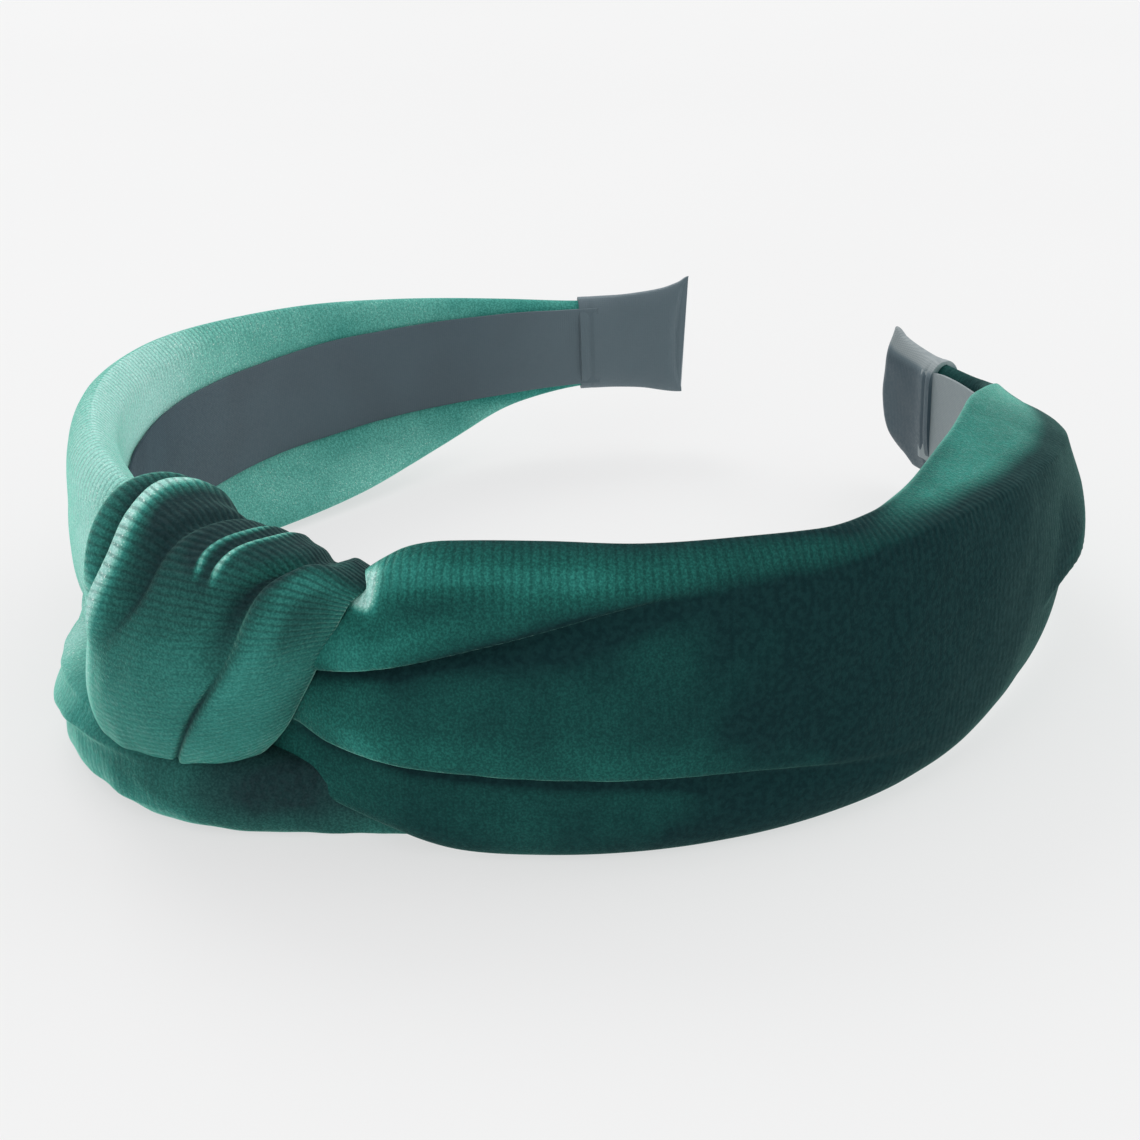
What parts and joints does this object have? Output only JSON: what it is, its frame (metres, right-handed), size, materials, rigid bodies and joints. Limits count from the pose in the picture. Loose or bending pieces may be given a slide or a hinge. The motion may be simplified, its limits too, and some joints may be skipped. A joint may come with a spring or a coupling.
{
  "type": "knotted headband",
  "caption": "Wide padded velvet hair band with an off-centre leaning knot at the crown, ribbed velvet pile, a ribbon lining and ribbon-wrapped springy tips.",
  "frame": {"origin": "centre of the crown arc, on the middle plane of the band's width, inside the head opening", "axes": "+Z across the band's width towards its upper edge, +Y from the knot towards the gap between the tips, +X towards the right arm as seen from the knot's side"},
  "size_m": [0.1486, 0.1622, 0.0467],
  "materials": {
    "velvet": "ribbed velvet pile, deep green with a bright sheen at grazing angles",
    "lining_ribbon": "woven slate-grey ribbon with a soft satin sheen",
    "core_plastic": "plain moulded springy plastic strip",
    "padding_foam": "soft open-cell foam sheet"
  },
  "bodies": {
    "crown": {"core_crown": "core_plastic", "foam_crown": "padding_foam", "lining_crown": "lining_ribbon", "velvet_neck": "velvet", "knot_wrap": "velvet", "knot_lower_loop": "velvet"},
    "right_arm": {"core_right": "core_plastic", "foam_right": "padding_foam", "velvet_sleeve_right": "velvet", "lining_right": "lining_ribbon", "tip_wrap_right": "lining_ribbon"},
    "left_arm": {"core_left": "core_plastic", "foam_left": "padding_foam", "velvet_sleeve_left": "velvet", "lining_left": "lining_ribbon", "tip_wrap_left": "lining_ribbon"}
  },
  "joints": [
    {"name": "right_flex", "type": "hinge", "parent": "crown", "child": "right_arm", "pos_m": [0.0455, -0.05899, 0], "axis": [0, 0, -1], "range_deg": [-3.5, 15], "stiffness_Nm_per_rad": 1.5},
    {"name": "left_flex", "type": "hinge", "parent": "crown", "child": "left_arm", "pos_m": [-0.0455, -0.05899, 0], "axis": [0, 0, 1], "range_deg": [-3.5, 15], "stiffness_Nm_per_rad": 1.5}
  ]
}
